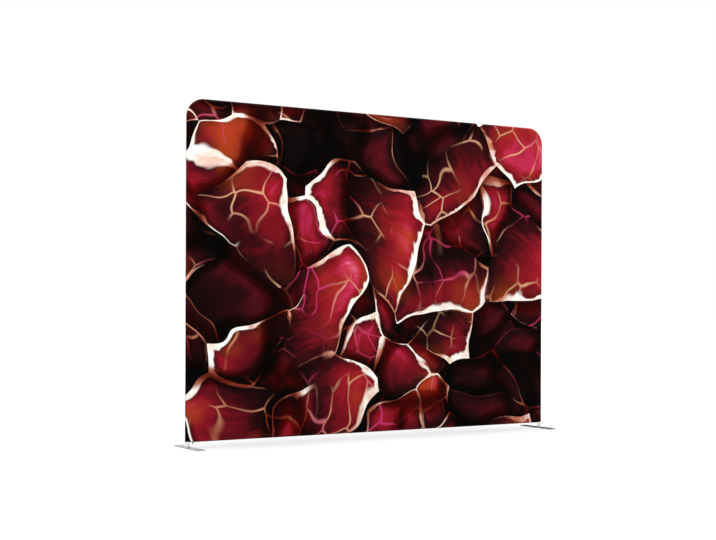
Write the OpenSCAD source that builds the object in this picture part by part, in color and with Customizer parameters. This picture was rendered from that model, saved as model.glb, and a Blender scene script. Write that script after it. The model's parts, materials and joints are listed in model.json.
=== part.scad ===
// Free-standing fabric wall: a zipped stretch cover over a snap-together frame of round tubes.
// X runs along the wall, the front face looks to -Y, and the floor is z = 0 under the middle.

/* [Wall] */
// Width over the cloth
wall_w = 3000; // [2000:10:4000]
// Height from the floor to the top of the cloth
wall_h = 2300; // [1600:10:2600]
// Height of the cloth's lower edge above the floor
cloth_lift = 44; // [40:1:90]

/* [Tubes] */
// Outer diameter of every frame tube
tube_d = 30; // [26:0.5:40]
// Wall thickness of the tubes
tube_wall = 1.5; // [1:0.1:2.2]
// Radius of the top corners' bends, to the middle of the tube
bend_r = 110; // [60:5:300]
// Straight length of each leg of a corner tube
corner_leg = 240; // [120:10:500]
// Length of a necked tube end inside the next tube
joint_len = 60; // [50:5:90]
// Length of the taper from the tube to its necked end
taper_len = 4; // [2:0.5:10]
// Gap round a necked end inside the next tube
neck_gap = 0.1; // [0.05:0.05:0.3]
// Gap between the faces of two joined tubes, and between a tube and its foot
face_gap = 0.3; // [0.1:0.1:1]
// Room in a stub past the tip of the tube that it holds
stub_room = 15; // [5:1:60]
// Share of an upright's straight height at which its two tubes meet
upright_split = 0.5; // [0.35:0.05:0.65]

/* [Snap buttons] */
// Diameter of the snap buttons
button_d = 8; // [6:0.5:9]
// Height of a button above the outside of the tube
button_out = 3; // [2:0.5:5]
// Distance from a socket's end to its button
button_at = 30; // [22:1:38]
// Running gap round a button in its holes
button_gap = 0.08; // [0.02:0.01:0.1]
// Rim of the button's flange past its shank
flange_rim = 1.2; // [0.8:0.1:1.6]
// Thickness of the button's flange
flange_t = 1; // [0.8:0.1:1.5]
// Width of the V spring's strip
leaf_w = 8; // [5:0.5:9]
// Thickness of the V spring's strip
leaf_t = 0.6; // [0.4:0.1:0.8]
// Distance from the button to the spring's bend
spring_reach = 34; // [26:1:45]

/* [Feet] */
// Length of a foot plate, square to the wall
foot_l = 360; // [300:10:700]
// Width of a foot plate
foot_w = 60; // [50:5:150]
// Thickness of a foot plate
foot_t = 6; // [5:0.5:12]
// Radius of a foot plate's corners
foot_corner_r = 5; // [1:0.5:20]
// Height of the spigot above the foot plate
spigot_len = 60; // [40:5:120]
// Running gap round the spigot in the upright
spigot_gap = 0.05; // [0.02:0.01:0.1]
// Thread diameter of the foot screw
screw_d = 8; // [6:1:10]
// Head diameter of the foot screw
screw_head_d = 16; // [14:0.5:18]
// Depth of the screw's thread in the spigot
screw_grip = 18; // [10:1:30]

/* [Cloth] */
// Thickness of the stretched cloth
cloth_t = 0.5; // [0.3:0.1:0.8]
// Gap between the cloth and the tubes
cloth_gap = 0.3; // [0.2:0.05:0.6]
// Gap between the front and back panels along the seam
seam_gap = 0.2; // [0.1:0.05:0.5]
// Room beside an upright where it leaves the cover
sleeve_room = 3; // [2:0.5:10]

/* [Zip] */
// Distance from the tube's underside down to the middle of the zip's teeth
zip_drop = 4.5; // [4.2:0.1:8]
// Thickness of the zip's tapes
tape_t = 0.7; // [0.5:0.1:0.9]
// Width of each tape that shows between the teeth and the cloth's hem
tape_show = 3.5; // [1.5:0.5:6]
// Width over both rows of teeth
teeth_w = 5.4; // [4.5:0.1:6]
// Height of the teeth
teeth_h = 2.2; // [1.8:0.1:2.6]
// Length of the slider
slider_l = 14; // [11:0.5:20]
// Width of the slider
slider_w = 10; // [9:0.5:12]
// Distance from the left upright's middle to the middle of the parked slider
slider_park = 38; // [34:1:200]
// Thickness of the slider's plates
slider_t = 1; // [0.8:0.1:1.3]
// Length of the pull below its hinge bar
pull_l = 14; // [12:1:24]
// Width of the pull
pull_w = 6; // [5:0.5:9]
// Thickness of the pull
pull_t = 1.4; // [1:0.1:1.8]

/* [Hidden] */

$fn = 72;

// What a tube's end is: cut plain, a socket with a button hole, or a neck with a button hole
plain = 0;
socket = 1;
neck = 2;

// Radii that follow from the tube
tube_r = tube_d/2;
bore_r = tube_r - tube_wall;
neck_r = bore_r - neck_gap;
neck_bore_r = neck_r - tube_wall;
hole_r = button_d/2 + button_gap;
neck_chamfer = 0.8;

// How far a cutting shape reaches past the faces that it cuts
cut_over = 1;

// Cloth surfaces, measured from the middle of the tube
cloth_in = tube_r + cloth_gap;
cloth_out = cloth_in + cloth_t;

// Lines that the tubes' middles follow
upright_x = wall_w/2 - cloth_out;
rail_top_z = wall_h - cloth_out;
rail_low_z = cloth_lift + cloth_out;
bend_z = rail_top_z - bend_r;
bend_x = upright_x - bend_r;
stub_len = tube_r + stub_room + joint_len;
sleeve_w = tube_r + sleeve_room;

// Heights and places of the joints between tubes
upright_foot_z = foot_t + face_gap;
corner_z = bend_z - corner_leg;
split_z = upright_foot_z + upright_split*(corner_z - upright_foot_z);
top_end_x = bend_x - corner_leg;
top_third = 2*top_end_x/3;
low_end_x = upright_x - stub_len;
low_third = 2*low_end_x/3;
post_foot_z = rail_low_z + stub_len;
post_head_z = rail_top_z - stub_len;
post_split_z = (post_foot_z + post_head_z)/2;

// Turns that send a neck along its tube with the button on the inner side of the frame
up = [0, 0, 0];
up_mirrored = [0, 0, 180];
down = [180, 0, 0];
left_button_down = [0, 90, 180];
right_button_down = [0, 90, 0];
left_button_up = [0, -90, 0];
right_button_up = [0, -90, 180];

// Each joint: its node name, the middle of the joint plane, and how the neck is turned
JOINTS = [
    ["button_left_upright", [-upright_x, 0, split_z], up],
    ["button_left_corner_low", [-upright_x, 0, corner_z], up],
    ["button_left_corner_top", [-top_end_x, 0, rail_top_z], left_button_down],
    ["button_right_upright", [upright_x, 0, split_z], up_mirrored],
    ["button_right_corner_low", [upright_x, 0, corner_z], up_mirrored],
    ["button_right_corner_top", [top_end_x, 0, rail_top_z], right_button_down],
    ["button_top_left", [-top_end_x + top_third, 0, rail_top_z], right_button_down],
    ["button_top_right", [top_end_x - top_third, 0, rail_top_z], left_button_down],
    ["button_bottom_far_left", [-low_end_x, 0, rail_low_z], left_button_up],
    ["button_bottom_left", [-low_end_x + low_third, 0, rail_low_z], right_button_up],
    ["button_bottom_right", [low_end_x - low_third, 0, rail_low_z], left_button_up],
    ["button_bottom_far_right", [low_end_x, 0, rail_low_z], right_button_up],
    ["button_post_foot", [0, 0, post_foot_z], down],
    ["button_post_middle", [0, 0, post_split_z], up],
    ["button_post_head", [0, 0, post_head_z], up]
];

// Button and V spring, measured outwards from the middle of the tube
stop_gap = 0.3;
button_top = tube_r + button_out;
flange_r = button_d/2 + flange_rim;
flange_top = sqrt(pow(neck_bore_r, 2) - pow(flange_r, 2)) - stop_gap;
flange_foot = flange_top - flange_t;
dome_h = button_d/5;
dome_r = (pow(button_d/2, 2) + pow(dome_h, 2))/(2*dome_h);
leaf_seat = 0.1;
leaf_mid = flange_foot - leaf_seat - leaf_t/2;
leaf_heel = sqrt(pow(neck_bore_r - stop_gap, 2) - pow(leaf_w/2, 2)) - leaf_t/2;
leaf_past = 1;

// Foot plate's middle, with its outer side level with the cloth
foot_x = wall_w/2 - foot_w/2;
spigot_r = bore_r - spigot_gap;
spigot_bevel = 1.5;
thread_gap = 0.05;
plate_gap = 0.15;
screw_sink = 0.4;
screw_cone = (screw_head_d - screw_d)/2;
screw_point = 1;
thread_past = 2;
hex_key = 5;
hex_depth = 2.6;

// Cross-section of the zip, down from the tube's middle and out from the wall's middle plane:
// each tape runs straight from the teeth towards the tube, just inside the hem of the cloth
teeth_down = tube_r + zip_drop;
teeth_half = teeth_w/2;
mesh_gap = 0.05;
hem_gap = 0.1;
hem_lap = 5;
hem_bite = 0.05;
tape_mid = cloth_in - hem_gap - tape_t/2;
tape_edge = teeth_half + tape_t/2 + hem_gap;
tape_far = sqrt(pow(teeth_down, 2) + pow(tape_edge, 2));
hem_turn = acos(tape_mid/tape_far) + atan(tape_edge/teeth_down);
tape_low = sqrt(pow(tape_far, 2) - pow(tape_mid, 2));
tape_high = sqrt(pow(cloth_in, 2) - pow(tape_mid - tape_t/2, 2));
hem_low = tape_low - tape_show;

// Stations along the zip
sleeve_x = upright_x - tube_r - sleeve_room;
tape_end_gap = 2;
zip_end_x = sleeve_x - tape_end_gap;
slider_x = -upright_x + slider_park;
slider_gap = 0.3;
stop_l = 3;
box_stop_l = 6;
teeth_start_x = slider_x + slider_gap;
teeth_end_x = zip_end_x - box_stop_l - slider_gap;

// Slider and pull, measured up from the middle of the bottom rail
wedge_half = 1.2;
wedge_l = 4.5;
channel_half = teeth_half + slider_gap;
channel_top = -teeth_down + teeth_h/2 + slider_gap;
channel_foot = -teeth_down - teeth_h/2 - slider_gap;
flange_lip = -teeth_down - tape_t/2*cos(hem_turn) - slider_gap;
crown_rim = 0.4;
crown_half = channel_half + crown_rim;
tail_share = 0.42;
slider_tail = tail_share*slider_w;
slider_corner = 1;
slider_base = channel_foot - slider_t;
bail_half_l = 4;
bail_bar = 1.3;
bail_drop = 3.3;
bail_w = 2;
pull_bar_r = 0.8;
pull_play = 0.15;
pull_eye_l = 5;
pull_eye_gap = 0.5;
pull_pivot = slider_base - bail_drop + bail_bar + pull_bar_r + pull_play;

// Placing helpers
module on_right() { mirror([1, 0, 0]) children(); }
module on_back() { mirror([0, 1, 0]) children(); }
module at_joint(j) { translate(j[1]) rotate(j[2]) children(); }

// Half of a section through each kind of tube end, from its tip inwards
function end_outside(kind) =
    kind == neck ? [
        [neck_r - neck_chamfer, -joint_len], [neck_r, neck_chamfer - joint_len],
        [neck_r, 0], [tube_r, taper_len]
    ]
    : [[tube_r, kind == socket ? face_gap : 0]];
function end_inside(kind) =
    kind == neck ? [[neck_bore_r, -joint_len], [neck_bore_r, taper_len], [bore_r, 2*taper_len]]
    : [[bore_r, kind == socket ? face_gap : 0]];
function backwards(points) = [for (i = [len(points) - 1 : -1 : 0]) points[i]];
function far_end(points, run) = [for (p = backwards(points)) [p[0], run - p[1]]];

// A straight tube up +Z between two joint planes, with its button holes towards +X
module tube(run, low, high) {
    outer = concat(end_outside(low), far_end(end_outside(high), run));
    inner = concat(end_inside(low), far_end(end_inside(high), run));
    difference() {
        rotate_extrude() polygon(concat(outer, backwards(inner)));
        if (low != plain) button_hole(low == socket ? button_at : -button_at);
        if (high != plain) button_hole(high == socket ? run - button_at : run + button_at);
    }
}

module button_hole(z) {
    translate([0, 0, z]) rotate([0, 90, 0]) cylinder(r = hole_r, h = tube_r + cut_over);
}

// A short socket up +Z, coped to and welded on a tube that runs along X
module branch() {
    difference() {
        cylinder(r = tube_r, h = stub_len - face_gap);
        translate([0, 0, -cut_over]) cylinder(r = bore_r, h = stub_len + 2*cut_over);
        rotate([0, 90, 0]) cylinder(r = tube_r - tube_wall/2, h = 3*tube_d, center = true);
        button_hole(stub_len - button_at);
    }
}

// Uprights
module left_upright_lower() color("gainsboro") {
    translate([-upright_x, 0, upright_foot_z]) tube(split_z - upright_foot_z, plain, neck);
    translate([-upright_x, 0, rail_low_z]) rotate(right_button_up) branch();
}

module left_upright_upper() color("gainsboro") {
    translate([-upright_x, 0, split_z]) tube(corner_z - split_z, socket, neck);
}

module left_corner_tube() color("gainsboro") {
    translate([-upright_x, 0, corner_z]) tube(corner_leg, socket, plain);
    translate([-bend_x, 0, bend_z]) rotate([90, 0, 0]) rotate([0, 0, 90])
        rotate_extrude(angle = 90) translate([bend_r, 0]) tube_section();
    translate([-bend_x, 0, rail_top_z]) rotate(right_button_down) tube(corner_leg, plain, socket);
}

module tube_section() {
    difference() {
        circle(r = tube_r);
        circle(r = bore_r);
    }
}

module right_upright_lower() on_right() left_upright_lower();
module right_upright_upper() on_right() left_upright_upper();
module right_corner_tube() on_right() left_corner_tube();

// Top rail
module top_rail_left() color("silver") {
    translate([-top_end_x, 0, rail_top_z]) rotate(right_button_down) tube(top_third, neck, neck);
}

module top_rail_centre() color("silver") {
    translate([-top_end_x + top_third, 0, rail_top_z]) rotate(right_button_down)
        tube(top_third, socket, socket);
    translate([0, 0, rail_top_z]) rotate(down) branch();
}

module top_rail_right() on_right() top_rail_left();

// Bottom rail
module bottom_rail_left() color("silver") {
    translate([-low_end_x, 0, rail_low_z]) rotate(right_button_up) tube(low_third, neck, neck);
}

module bottom_rail_centre() color("silver") {
    translate([-low_end_x + low_third, 0, rail_low_z]) rotate(right_button_up)
        tube(low_third, socket, socket);
    translate([0, 0, rail_low_z]) branch();
}

module bottom_rail_right() on_right() bottom_rail_left();

// Centre post
module centre_post_lower() color("darkgray") {
    translate([0, 0, post_foot_z]) tube(post_split_z - post_foot_z, neck, neck);
}

module centre_post_upper() color("darkgray") {
    translate([0, 0, post_split_z]) tube(post_head_z - post_split_z, socket, neck);
}

// Snap button: a domed pin with a flange that stops it inside the neck
module snap_button() color("lightsteelblue") {
    translate([0, 0, button_at]) rotate([0, 90, 0]) rotate_extrude() {
        translate([0, flange_foot]) square([flange_r, flange_t]);
        intersection() {
            translate([0, flange_foot]) square([button_d/2, button_top - flange_foot]);
            union() {
                translate([0, button_top - dome_r]) circle(r = dome_r);
                square([flange_r, button_top - dome_h]);
            }
        }
    }
}

// V spring: a bent strip from under the button to a bend deeper in the tube, and back to the far wall
module v_spring() color("slategray") {
    path = [
        [leaf_mid, button_at + button_d/2 + leaf_past],
        [leaf_mid, button_at - button_d/2 - leaf_past],
        [0, button_at - spring_reach],
        [-leaf_heel, button_at]
    ];
    rotate([90, 0, 0]) linear_extrude(leaf_w, center = true) strip(path, leaf_t);
}

module strip(points, t) {
    for (p = points) translate(p) circle(d = t, $fn = 24);
    for (i = [1 : len(points) - 1]) {
        step = points[i] - points[i - 1];
        translate(points[i - 1]) rotate(atan2(step[1], step[0])) translate([0, -t/2]) square([norm(step), t]);
    }
}

module snap_springs() {
    for (j = JOINTS) at_joint(j) v_spring();
}

// Foot: a plate, the spigot that the upright turns on, and the screw from below that joins them
module left_foot_plate() color("dimgray") {
    difference() {
        translate([-foot_x, 0, 0]) linear_extrude(foot_t) rounded_plate(foot_w, foot_l, foot_corner_r);
        translate([-upright_x, 0, 0]) countersink();
    }
}

module rounded_plate(w, l, r) {
    square([w - 2*r, l], center = true);
    square([w, l - 2*r], center = true);
    for (x = [-1, 1], y = [-1, 1]) translate([x*(w/2 - r), y*(l/2 - r)]) circle(r = r);
}

module countersink() {
    head_r = screw_head_d/2 + plate_gap;
    shank_r = screw_d/2 + plate_gap;
    rotate_extrude() polygon([
        [0, -cut_over], [head_r, -cut_over], [head_r, screw_sink], [shank_r, screw_sink + screw_cone],
        [shank_r, foot_t + cut_over], [0, foot_t + cut_over]
    ]);
}

module left_foot_spigot() color("silver") {
    thread_r = screw_d/2 + thread_gap;
    depth = screw_grip + thread_past;
    translate([-upright_x, 0, foot_t]) rotate_extrude() polygon([
        [thread_r, 0], [spigot_r, 0], [spigot_r, spigot_len - spigot_bevel],
        [spigot_r - spigot_bevel, spigot_len], [0, spigot_len], [0, depth], [thread_r, depth]
    ]);
}

module left_foot_screw() color("lightgray") {
    tip = foot_t + screw_grip;
    translate([-upright_x, 0, 0]) difference() {
        rotate_extrude() polygon([
            [0, screw_sink], [screw_head_d/2, screw_sink], [screw_d/2, screw_sink + screw_cone],
            [screw_d/2, tip - screw_point], [screw_d/2 - screw_point, tip], [0, tip]
        ]);
        translate([0, 0, screw_sink - cut_over])
            cylinder(d = hex_key/cos(30), h = hex_depth + cut_over, $fn = 6);
    }
}

module right_foot_plate() on_right() left_foot_plate();
module right_foot_spigot() on_right() left_foot_spigot();
module right_foot_screw() on_right() left_foot_screw();

// Cloth: flat between the tubes, with an edge that rolls round the outer tubes to the seam.
// The panel is drawn flat, X across and Y up, with the viewer at +Z, and then stood up.
module front_print() color("firebrick") {
    rotate([90, 0, 0]) {
        for (side = [0, 1]) mirror([side, 0, 0]) {
            translate([bend_x, bend_z]) rotate_extrude(angle = 90) edge_section(bend_r);
            translate([bend_x, bend_z]) band(bend_z - rail_low_z, bend_r);
            translate([upright_x - sleeve_w, rail_low_z]) band(rail_low_z - cloth_lift, sleeve_w);
        }
        translate([-bend_x, bend_z]) rotate([0, 0, 90]) band(2*bend_x, bend_r);
        translate([-bend_x, rail_low_z, cloth_in]) cube([2*bend_x, bend_z - rail_low_z, cloth_t]);
    }
    along_rail(-sleeve_x, sleeve_x) hem_section();
}

module back_print() on_back() front_print();

// A band of cloth down -Y, flat for a width and then rolled round the tube on its +X side
module band(run, flat_w) {
    rotate([90, 0, 0]) linear_extrude(run) edge_section(flat_w);
}

module edge_section(flat_w) {
    translate([0, cloth_in]) square([flat_w, cloth_t]);
    translate([flat_w, 0]) intersection() {
        ring(cloth_in, cloth_t);
        translate([0, seam_gap/2]) square(2*cloth_out);
    }
}

module ring(inner_r, t) {
    difference() {
        circle(r = inner_r + t);
        circle(r = inner_r);
    }
}

// A section drawn down and to the front from the bottom rail's middle, run along the rail
module along_rail(from, to) {
    translate([to, 0, rail_low_z]) rotate(left_button_down) linear_extrude(to - from) children();
}

// The lower hem: round the tube and then straight on along the zip's tape
module hem_section() {
    intersection() {
        ring(cloth_in, cloth_t);
        polygon([[0, 0], 2*cloth_out*[cos(hem_turn), sin(hem_turn)], [0, 2*cloth_out]]);
    }
    rotate(hem_turn) translate([cloth_in, -hem_low]) square([cloth_t, hem_low + hem_bite]);
    translate([-hem_lap, cloth_in]) square([hem_lap, cloth_t]);
}

// Zip: two tapes, two rows of teeth, and the stops at both ends
module zip_tape_front() color("black") {
    along_rail(-zip_end_x, zip_end_x) rotate(hem_turn)
        translate([tape_mid - tape_t/2, -tape_low]) square([tape_t, tape_low - tape_high]);
}

module zip_tape_back() on_back() zip_tape_front();

module zip_teeth_front() color("dimgray") {
    along_rail(teeth_start_x, teeth_end_x) tooth_section(mesh_gap, teeth_half);
}

module zip_teeth_back() on_back() zip_teeth_front();

module tooth_section(near, far) {
    translate([teeth_down - teeth_h/2, near]) square([teeth_h, far - near]);
}

module zip_stops() color("silver") {
    stop_from = slider_x - slider_l/2 - slider_gap - stop_l;
    for (side = [0, 1]) mirror([0, side, 0])
        along_rail(stop_from, stop_from + stop_l) tooth_section(wedge_half/2, teeth_half);
    along_rail(zip_end_x - box_stop_l, zip_end_x)
        translate([teeth_down - teeth_h/2, -teeth_half]) square([teeth_h + slider_t, teeth_w]);
}

// Slider: two plates on a wedge, with flanges that leave a slot for each tape, and a bail below
module zip_slider() color("black") {
    translate([slider_x, 0, rail_low_z]) {
        intersection() {
            rotate(left_button_down) linear_extrude(slider_l, center = true) slider_section();
            translate([0, 0, slider_base - cut_over]) linear_extrude(tube_d) slider_plan();
        }
        translate([-slider_l/2, -wedge_half, channel_foot - slider_t/2])
            cube([wedge_l, 2*wedge_half, channel_top - channel_foot + slider_t]);
        bail();
    }
}

module slider_section() {
    translate([-channel_top - slider_t, -crown_half]) square([slider_t, 2*crown_half]);
    translate([-channel_foot, -slider_w/2]) square([slider_t, slider_w]);
    for (side = [0, 1]) mirror([0, side])
        translate([-flange_lip, channel_half]) square([flange_lip - slider_base, slider_w/2 - channel_half]);
}

module slider_plan() {
    half = [
        [slider_l/2, slider_tail - slider_corner], [slider_l/2 - slider_corner, slider_tail], [0, slider_w/2],
        [slider_corner - slider_l/2, slider_w/2], [-slider_l/2, slider_w/2 - slider_corner]
    ];
    polygon(concat(half, [for (p = backwards(half)) [p[0], -p[1]]]));
}

module bail() {
    translate([0, bail_w/2, slider_base - bail_drop]) rotate([90, 0, 0]) linear_extrude(bail_w) difference() {
        translate([-bail_half_l, 0]) square([2*bail_half_l, bail_drop]);
        translate([bail_bar - bail_half_l, bail_bar]) square([2*(bail_half_l - bail_bar), bail_drop]);
    }
}

// Pull: a tab that hangs from a bar through the bail
module zip_pull() color("dimgray") {
    eye_half = bail_w/2 + pull_eye_gap;
    translate([slider_x, 0, rail_low_z + pull_pivot]) {
        rotate([90, 0, 0]) cylinder(r = pull_bar_r, h = pull_w, center = true);
        difference() {
            rotate([0, 90, 0]) linear_extrude(pull_t, center = true) union() {
                translate([0, -pull_w/2]) square([pull_l - pull_w/2, pull_w]);
                translate([pull_l - pull_w/2, 0]) circle(d = pull_w);
            }
            translate([-pull_t, -eye_half, -pull_eye_l]) cube([2*pull_t, 2*eye_half, pull_eye_l + cut_over]);
        }
    }
}

left_upright_lower();
left_upright_upper();
left_corner_tube();
right_upright_lower();
right_upright_upper();
right_corner_tube();
top_rail_left();
top_rail_centre();
top_rail_right();
bottom_rail_left();
bottom_rail_centre();
bottom_rail_right();
centre_post_lower();
centre_post_upper();
left_foot_plate();
left_foot_spigot();
left_foot_screw();
right_foot_plate();
right_foot_spigot();
right_foot_screw();
front_print();
back_print();
zip_tape_front();
zip_tape_back();
zip_teeth_front();
zip_teeth_back();
zip_stops();
zip_slider();
zip_pull();
snap_springs();
for (j = JOINTS) at_joint(j) snap_button();
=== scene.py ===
# Zip-up fabric wall: studio, printed cover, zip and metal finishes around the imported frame.
# Sizes in metres. X runs along the wall, the front faces -Y, the floor is z = 0.
import json
import math

import bmesh
import bpy
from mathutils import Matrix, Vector


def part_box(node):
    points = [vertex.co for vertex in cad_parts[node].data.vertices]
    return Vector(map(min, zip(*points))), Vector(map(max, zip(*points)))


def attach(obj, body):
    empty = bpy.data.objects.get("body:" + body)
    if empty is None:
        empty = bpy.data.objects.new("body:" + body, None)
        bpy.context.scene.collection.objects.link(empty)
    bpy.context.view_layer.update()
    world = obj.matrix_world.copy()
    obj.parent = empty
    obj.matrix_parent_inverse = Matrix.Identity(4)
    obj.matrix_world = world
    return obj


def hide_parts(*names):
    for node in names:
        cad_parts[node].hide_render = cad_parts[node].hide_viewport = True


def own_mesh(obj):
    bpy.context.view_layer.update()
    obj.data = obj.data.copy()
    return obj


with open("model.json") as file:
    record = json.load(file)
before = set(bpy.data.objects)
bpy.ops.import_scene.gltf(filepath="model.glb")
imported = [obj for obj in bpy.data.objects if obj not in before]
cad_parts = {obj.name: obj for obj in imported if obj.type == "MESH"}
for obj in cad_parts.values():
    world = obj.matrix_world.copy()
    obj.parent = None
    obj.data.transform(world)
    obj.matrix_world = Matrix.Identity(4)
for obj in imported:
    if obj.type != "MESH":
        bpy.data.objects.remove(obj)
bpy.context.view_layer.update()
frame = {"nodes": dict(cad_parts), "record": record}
nodes = frame["nodes"]
print("frame loaded, nodes:", len(nodes))


# Small helpers for shader trees
def linear(hexColour):
    parts = [int(hexColour[i:i + 2], 16)/255 for i in (0, 2, 4)]
    return tuple(c/12.92 if c <= 0.04045 else ((c + 0.055)/1.055)**2.4 for c in parts) + (1.0,)


def addNode(tree, kind, **settings):
    made = tree.nodes.new("ShaderNode" + kind)
    for name, value in settings.items():
        setattr(made, name, value)
    return made


def plug(tree, socket, value):
    if isinstance(value, bpy.types.NodeSocket):
        tree.links.new(value, socket)
    elif value is not None:
        socket.default_value = value


def maths(tree, operation, a, b=None):
    made = addNode(tree, "Math", operation=operation)
    for socket, value in zip(made.inputs, (a, b)):
        plug(tree, socket, value)
    return made.outputs[0]


def times(tree, a, b):
    return maths(tree, "MULTIPLY", a, b)


def plus(tree, a, b):
    return maths(tree, "ADD", a, b)


def minus(tree, a, b):
    return maths(tree, "SUBTRACT", a, b)


def vectors(tree, operation, a, b=None, scale=None):
    made = addNode(tree, "VectorMath", operation=operation)
    for socket, value in ((0, a), (1, b), (3, scale)):
        plug(tree, made.inputs[socket], value)
    return made.outputs[1 if operation == "DOT_PRODUCT" else 0]


def shifted(tree, vector, offset):
    return vectors(tree, "ADD", vector, offset)


def joinXyz(tree, x, y, z=0.0):
    made = addNode(tree, "CombineXYZ")
    for socket, value in zip(made.inputs, (x, y, z)):
        plug(tree, socket, value)
    return made.outputs[0]


def splitXyz(tree, vector):
    made = addNode(tree, "SeparateXYZ")
    plug(tree, made.inputs[0], vector)
    return made.outputs


def fade(tree, value, start, end, low=0.0, high=1.0):
    made = addNode(tree, "MapRange", interpolation_type="SMOOTHSTEP")
    for socket, part in zip(made.inputs, (value, start, end, low, high)):
        plug(tree, socket, part)
    return made.outputs[0]


def noise(tree, vector, scale, detail=2.0, roughness=0.5, colour=False):
    made = addNode(tree, "TexNoise", noise_dimensions="3D")
    for name, value in (("Vector", vector), ("Scale", scale), ("Detail", detail), ("Roughness", roughness)):
        plug(tree, made.inputs[name], value)
    return made.outputs["Color" if colour else "Fac"]


def voronoi(tree, vector, scale, feature):
    made = addNode(tree, "TexVoronoi", voronoi_dimensions="2D", feature=feature)
    plug(tree, made.inputs["Vector"], vector)
    plug(tree, made.inputs["Scale"], scale)
    return made.outputs


def ramp(tree, value, stops):
    made = addNode(tree, "ValToRGB")
    band = made.color_ramp
    band.interpolation = "EASE"
    band.elements.remove(band.elements[1])
    band.elements[0].position = stops[0][0]
    band.elements[0].color = linear(stops[0][1])
    for place, colour in stops[1:]:
        band.elements.new(place).color = linear(colour)
    plug(tree, made.inputs[0], value)
    return made.outputs[0]


def blendColours(tree, share, a, b):
    made = addNode(tree, "Mix", data_type="RGBA")
    plug(tree, made.inputs[0], share)
    plug(tree, made.inputs[6], linear(a) if isinstance(a, str) else a)
    plug(tree, made.inputs[7], linear(b) if isinstance(b, str) else b)
    return made.outputs[2]


def darkened(tree, colour, shade):
    return vectors(tree, "MULTIPLY", colour, joinXyz(tree, shade, shade, shade))


def newGroup(name, inputs, outputs):
    group = bpy.data.node_groups.new(name, "ShaderNodeTree")
    for socket, kind, value in inputs:
        made = group.interface.new_socket(socket, in_out="INPUT", socket_type="NodeSocket" + kind)
        if value is not None:
            made.default_value = value
    for socket, kind in outputs:
        group.interface.new_socket(socket, in_out="OUTPUT", socket_type="NodeSocket" + kind)
    entry = group.nodes.new("NodeGroupInput")
    leaving = group.nodes.new("NodeGroupOutput")
    return group, entry.outputs, leaving.inputs


def useGroup(tree, group, **values):
    made = addNode(tree, "Group", node_tree=group)
    for name, value in values.items():
        plug(tree, made.inputs[name], value)
    return made.outputs


def newMaterial(name, **constants):
    material = bpy.data.materials.new(name)
    material.use_nodes = True
    tree = material.node_tree
    shader = tree.nodes["Principled BSDF"]
    for socket, value in constants.items():
        shader.inputs[socket.replace("_", " ")].default_value = value
    return material, tree, shader


def addBump(tree, shader, height, strength, distance):
    made = addNode(tree, "Bump")
    made.inputs["Strength"].default_value = strength
    made.inputs["Distance"].default_value = distance
    plug(tree, made.inputs["Height"], height)
    plug(tree, shader.inputs["Normal"], made.outputs[0])


# Small helpers for pieces
def addPiece(name, data):
    piece = bpy.data.objects.new(name, data)
    bpy.context.scene.collection.objects.link(piece)
    return piece


def selectOnly(piece):
    bpy.ops.object.select_all(action="DESELECT")
    piece.select_set(True)
    bpy.context.view_layer.objects.active = piece


def copyNode(name, node, material):
    # a piece with a frame node's mesh, free to be reworked, selected and with its own material
    piece = addPiece(name, nodes[node].data.copy())
    piece.data.materials.clear()
    piece.data.materials.append(material)
    selectOnly(piece)
    bpy.ops.mesh.customdata_custom_splitnormals_clear()
    return piece


def editWelded(distance):
    # opens the selected piece for editing, all of it selected and its close points made one
    bpy.ops.object.mode_set(mode="EDIT")
    bpy.ops.mesh.select_all(action="SELECT")
    bpy.ops.mesh.remove_doubles(threshold=distance)


def applyModifier(piece, kind, **settings):
    bpy.ops.object.modifier_add(type=kind)
    modifier = piece.modifiers[-1]
    for name, value in settings.items():
        setattr(modifier, name, value)
    bpy.ops.object.modifier_apply(modifier=modifier.name)


# Camera, floor and light
camera = {
    "place": (-5.2843, -8.1615, 0.9817),
    "yaw": 32.086,        # degrees, from +Y towards +X
    "roll": 0.227,        # degrees
    "lens": 68.48,        # mm
    "sensor": 36,         # mm
    "shiftUp": 0.0411,
    "farthest": 200,
}
turned = (90, -camera["roll"], -camera["yaw"])
bpy.ops.object.camera_add(location=camera["place"], rotation=[math.radians(part) for part in turned])
viewer = bpy.context.object
viewer.name = "viewer"
viewer.data.lens = camera["lens"]
viewer.data.sensor_width = camera["sensor"]
viewer.data.shift_y = camera["shiftUp"]
viewer.data.clip_end = camera["farthest"]
bpy.context.scene.camera = viewer

studio = {
    "floorSize": 80.0,
    "floorDrop": 0.0004,
    "floorColour": "b9b9b9",
    "cloudColour": "c8c8c8",
    "cloudSize": 0.8,           # clouds per metre
    "cloudSpan": (0.3, 0.7),
    "cloudShare": 0.25,
    "nearGlow": 0.34,           # the floor is lit from within, more so far away, as a white cove is
    "farGlow": 1.0,
    "glowSpan": (3.0, 40.0),    # square metres: the squared distance from the middle
    "skyTop": 0.9,
    "skySide": 0.82,
    "skyDark": 0.07,            # low dark panels to both sides, which shape the metal
    "skyRise": 0.7,
    "panelSide": (0.47, 0.6),   # sideways part of a direction, where the panels begin
    "panelTop": (0.3, 0.6),     # upward part of a direction, where they end
    "keyPower": 88.0,
    "keyPlace": (-2.5, -6.0, 4.2),
    "keyAim": (0, 0, 1.1),
    "keySize": 4.0,
    "overPower": 560.0,
    "overHeight": 7.0,
    "overSize": (9.0, 1.7),
}


def aimedAt(place, target):
    return (Vector(target) - Vector(place)).to_track_quat("-Z", "Y").to_euler()


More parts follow.
